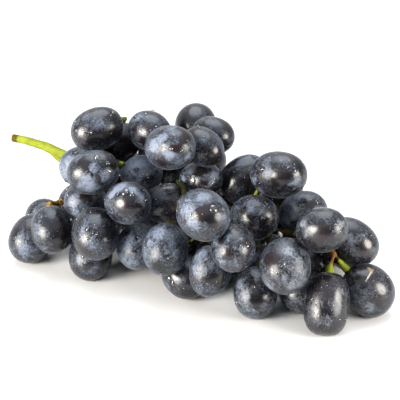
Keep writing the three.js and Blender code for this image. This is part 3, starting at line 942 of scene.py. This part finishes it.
def makeStem():
    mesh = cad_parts["stem"].data.copy()
    stem = linkNew("stem_bark", mesh)
    pickOnly(stem)
    bpy.ops.object.mode_set(mode="EDIT")
    bpy.ops.mesh.select_all(action="SELECT")
    bpy.ops.mesh.remove_doubles(threshold=stemForm["merge"] * mm)
    leaveEditMode()
    remesh = stem.modifiers.new("grown", "REMESH")
    remesh.mode = "VOXEL"
    remesh.voxel_size = stemForm["voxel"] * mm
    smooth = stem.modifiers.new("rounded", "SMOOTH")
    smooth.factor = stemForm["rounding"]
    smooth.iterations = stemForm["smoothing"]
    applyModifiers(stem)
    points = places(stem.data)
    outward = np.array([tuple(corner.vector) for corner in stem.data.vertex_normals])
    along = points[:, 0] / mm
    bare = np.clip((stemForm["bareFrom"] - along) / stemForm["bareFade"], 0, 1)
    rise = stemForm["thicken"] + bare * (stemForm["thickenBare"] - stemForm["thicken"])
    for middle, height, width in stemForm["knobs"]:
        rise = rise + height * np.exp(-((along - middle) / width) ** 2)
    for x, y, radius, height in stemForm["twigs"]:
        rise = rise + height * np.exp(-(awayFromSight(points, x, y) / radius) ** 4)
    for i, place in enumerate(points):
        where = Vector([part / size / mm for part, size in zip(place, stemForm["ridgeSize"])])
        rise[i] += stemForm["ridges"] * noise.noise(where)
    setPlaces(stem.data, points + outward * rise[:, None] * mm)
    paintStem(stem.data)
    shadeSmooth(stem)
    stem.data.materials.clear()
    stem.data.materials.append(stemMaterial())
    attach(stem, "root")
    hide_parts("stem")
    return stem


stem = makeStem()
print("stem modelled:", len(stem.data.polygons), "faces")


# --- water drops on the skins

dropForm = {
    "bigSides": 16,
    "bigRings": 10,
    "smallSides": 8,
    "smallRings": 6,
    "rim": -0.01,  # of the height
    "under": 0.15,  # how far a drop reaches under its rim, as a share of its height
    "skinRadius": 10,  # mm
    "sink": 0.04,
    "levelSkin": 0.05,  # where the skin's slope is under this, a drop runs nowhere
}

scatter = {
    "seed": 23,
    "onGrape": (12, 42),
    "tries": 6,  # for each small drop
    "radius": (0.18, 0.5),  # mm
    "height": (0.35, 0.6),  # of the radius
    "run": (1, 1.4),
    "clusterSize": 5.5,  # mm
    "clusterFrom": 0.12,  # of the noise that gathers the drops
    "lowestFacing": -0.35,
    "leastFace": 0.3,  # mm, so that the tiny faces at a grape's ends carry none
}

waterFinish = {
    "water": {"tint": (0.62, 0.64, 0.67, 1), "clearness": 1.0},
    # milky white and only partly clear: a painted reflection of the bright room that a clear hanging drop
    # would show
    "brightWater": {"tint": (0.9, 0.92, 0.95, 1), "clearness": 0.3},
    "rough": 0.02,
    "ior": 1.36,
    "coat": 1.0,
    "coatIor": 1.7,
    "coatRough": 0.03,
    "rippleScale": 700,
    "bumpStrength": 0.05,
    "bumpDepth": 0.05,  # mm
}

# drops that hang on the stem, which is searched for up and down from the point
hangingDrops = [(280, 235.5, 1.3, 0.9, 1.5), (221.5, 192.5, 1.1, 0.8, 1.2)]
searchSteps = (0, -1, 1, -2, 2, -3, 3)


def dropPattern(sides, rings):
    # a drop of half width 1 and height 1 with a shallow underside
    bpy.ops.object.select_all(action="DESELECT")
    bpy.ops.mesh.primitive_uv_sphere_add(segments=sides, ring_count=rings, radius=1, location=(0, 0, 0))
    drop = bpy.context.object
    selectWhere(drop, lambda place: place.z < dropForm["rim"])
    bpy.ops.transform.resize(value=(1, 1, dropForm["under"]), center_override=(0, 0, 0))
    leaveEditMode()
    points = places(drop.data)
    faces = sorted(list(face.vertices) for face in drop.data.polygons)
    bpy.data.objects.remove(drop)
    return points, faces


def layDrop(pattern, place, outward, radius, height, run):
    # the drop's points on the skin: it runs downhill and its rim is sunk just under the skin
    downhill = Vector((0, 0, -1)) + outward * outward.z
    if downhill.length < dropForm["levelSkin"]:
        downhill = outward.orthogonal()
    downhill.normalize()
    across = outward.cross(downhill)
    sunk = radius * radius / (2 * dropForm["skinRadius"]) + dropForm["sink"]
    points = pattern[0] * (radius * run, radius, radius * height + sunk)
    turn = np.array([downhill, across, outward])
    return np.array(place) + (points @ turn - np.array(outward) * sunk) * mm


def joinDrops(name, pattern, laid, material):
    points = np.concatenate(laid)
    count = len(pattern[0])
    faces = [[start + i for i in face] for start in range(0, len(points), count) for face in pattern[1]]
    mesh = bpy.data.meshes.new(name)
    mesh.from_pydata(points.tolist(), [], faces)
    mesh.validate()
    drops = linkNew(name, mesh)
    shadeSmooth(drops)
    mesh.materials.append(material)
    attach(drops, "root")
    return drops


def waterMaterial(name):
    material, tree, shader, where = newMaterial(name)
    finish, kind = waterFinish, waterFinish[name]
    ripple = noiseOf(tree, where, finish["rippleScale"], 2)
    normal = bumpOf(tree, ripple, finish["bumpStrength"], finish["bumpDepth"])
    feed(tree, shader, Base_Color=kind["tint"], Transmission_Weight=kind["clearness"], Normal=normal)
    feed(tree, shader, Roughness=finish["rough"], IOR=finish["ior"], Coat_Weight=finish["coat"])
    feed(tree, shader, Coat_IOR=finish["coatIor"], Coat_Roughness=finish["coatRough"])
    return material


def scatterDrops(pattern):
    # small drops in loose clusters on the upper sides of the grapes
    randomDrop = random.Random(scatter["seed"])
    laid = []
    for berry in berries.values():
        count = randomDrop.randint(*scatter["onGrape"])
        # the faces in an order of their own, because the one they are made in differs from run to run
        faces = sorted(berry.data.polygons, key=lambda face: sorted(face.vertices))
        for _ in range(count * scatter["tries"]):
            face = faces[randomDrop.randrange(len(faces))]
            radius = randomDrop.uniform(*scatter["radius"])
            height = randomDrop.uniform(*scatter["height"])
            gathered = noise.noise(face.center / (scatter["clusterSize"] * mm))
            if face.normal.z < scatter["lowestFacing"] or gathered < scatter["clusterFrom"]:
                continue
            if face.area < (scatter["leastFace"] * mm) ** 2 or count == 0:
                continue
            count -= 1
            run = randomDrop.uniform(*scatter["run"])
            laid.append(layDrop(pattern, face.center, face.normal, radius, height, run))
    return laid


def hangDrops(pattern):
    points = [vertex.co.copy() for vertex in stem.data.vertices]
    stemSurface = BVHTree.FromPolygons(points, [list(face.vertices) for face in stem.data.polygons])
    laid = []
    for x, y, radius, height, run in hangingDrops:
        for step in searchSteps:
            place, outward, face, distance = stemSurface.ray_cast(camera.location, sightLine(x, y + step))
            if face is not None:
                laid.append(layDrop(pattern, place, outward, radius, height, run))
                break
    return laid


def makeDrops():
    # the second material, for the hanging drops, is milky: a painted reflection of the bright room
    water, clear = waterMaterial("water"), waterMaterial("brightWater")
    pattern = dropPattern(dropForm["bigSides"], dropForm["bigRings"])
    laid = []
    for x, y, radius, height, run in bigDrops:
        owner, place, outward, perPoint = spotOn(x, y)
        if owner is None:
            print("drop off the grapes:", x, y)
            continue
        laid.append(layDrop(pattern, place, outward, radius, height, run))
    joinDrops("drops_big", pattern, laid, water)
    hanging = hangDrops(pattern)
    joinDrops("drops_hanging", pattern, hanging, clear)
    pattern = dropPattern(dropForm["smallSides"], dropForm["smallRings"])
    small = scatterDrops(pattern)
    joinDrops("drops_small", pattern, small, water)
    return len(laid), len(hanging), len(small)


print("drops laid:", *makeDrops())


# --- floor, studio lights and surroundings

studio = {
    "floorSize": 4,  # m
    "floorColour": (0.58, 0.58, 0.577, 1),
    "floorRough": 0.7,
    "behindCamera": 0.1,  # brightness of the room behind the camera
    "beyond": 1.05,  # behind the bunch
    "overhead": 1.3,
    "rightShare": 0.6,  # brightness of the room on the right, as a share of the rest
    # where each of them gives way to the other: the cosine to the camera, to the right and upward
    "backEdge": (-0.35, 0.3),
    "rightEdge": (0.1, 0.8),
    "skyEdge": (0.45, 0.8),
    "roomColour": (0.97, 0.98, 1, 1),
    "skyColour": (0.84, 0.92, 1.04, 1),
    "seenColour": (1, 1, 1, 1),  # what the camera itself sees of the room
    "seen": 1.0,
}

warmLight = (1, 0.95, 0.88)
coolLight = (0.9, 0.95, 1)
lights = {
    "keyLight": {
        "bearing": -121, "rise": 14, "distance": 700, "size": 420, "power": 17, "colour": warmLight,
    },
    "sideLight": {
        "bearing": -5, "rise": 16, "distance": 380, "size": 200, "power": 2.3, "colour": warmLight,
    },
    "topLight": {
        "bearing": 120, "rise": 70, "distance": 1000, "size": 900, "power": 10, "colour": coolLight,
    },
}


def placeFloor():
    bpy.ops.mesh.primitive_plane_add(size=studio["floorSize"], location=(0, 0, 0))
    floor = bpy.context.object
    floor.name = "floor"
    material, tree, shader, where = newMaterial("paleFloor")
    feed(tree, shader, Base_Color=studio["floorColour"], Roughness=studio["floorRough"])
    floor.data.materials.append(material)


def placeLights():
    target = Vector(viewpoint["lookAt"]) * mm
    for name, setting in lights.items():
        way = bearingToWay(setting["bearing"], setting["rise"])
        place = target + way * setting["distance"] * mm
        turn = (-way).to_track_quat("-Z", "Y").to_euler()
        bpy.ops.object.light_add(type="AREA", location=place, rotation=turn)
        light = bpy.context.object
        light.name = name
        light.data.shape = "DISK"
        light.data.size = setting["size"] * mm
        light.data.energy = setting["power"]
        light.data.color = setting["colour"]
        light.visible_camera = False


def lightRoom():
    world = bpy.data.worlds.new("studio")
    bpy.context.scene.world = world
    world.use_nodes = True
    tree = world.node_tree
    background = tree.nodes["Background"]
    way = tree.nodes.new("ShaderNodeTexCoord").outputs["Generated"]

    def leaning(direction):
        inputs = {0: way, 1: direction}
        return addNode(tree, "ShaderNodeVectorMath", inputs, operation="DOT_PRODUCT").outputs["Value"]

    facing = leaning(bearingToWay(viewpoint["bearing"], viewpoint["rise"]))
    bright = ramp(tree, facing, *studio["backEdge"], studio["beyond"], studio["behindCamera"])
    sideways = leaning(cameraTurn @ Vector((1, 0, 0)))
    dimmed = ramp(tree, sideways, *studio["rightEdge"], 1, studio["rightShare"])
    bright = sumUp(tree, "MULTIPLY", bright, dimmed)
    sky = ramp(tree, leaning(Vector((0, 0, 1))), *studio["skyEdge"])
    bright = blendValue(tree, sky, bright, studio["overhead"])
    seen = tree.nodes.new("ShaderNodeLightPath").outputs["Is Camera Ray"]
    tree.links.new(blendValue(tree, seen, bright, studio["seen"]), background.inputs["Strength"])
    room = blendColour(tree, sky, studio["roomColour"], studio["skyColour"])
    room = blendColour(tree, seen, room, studio["seenColour"])
    tree.links.new(room, background.inputs["Color"])
    bpy.context.scene.view_settings.view_transform = "Standard"


placeFloor()
placeLights()
lightRoom()
print("studio placed")
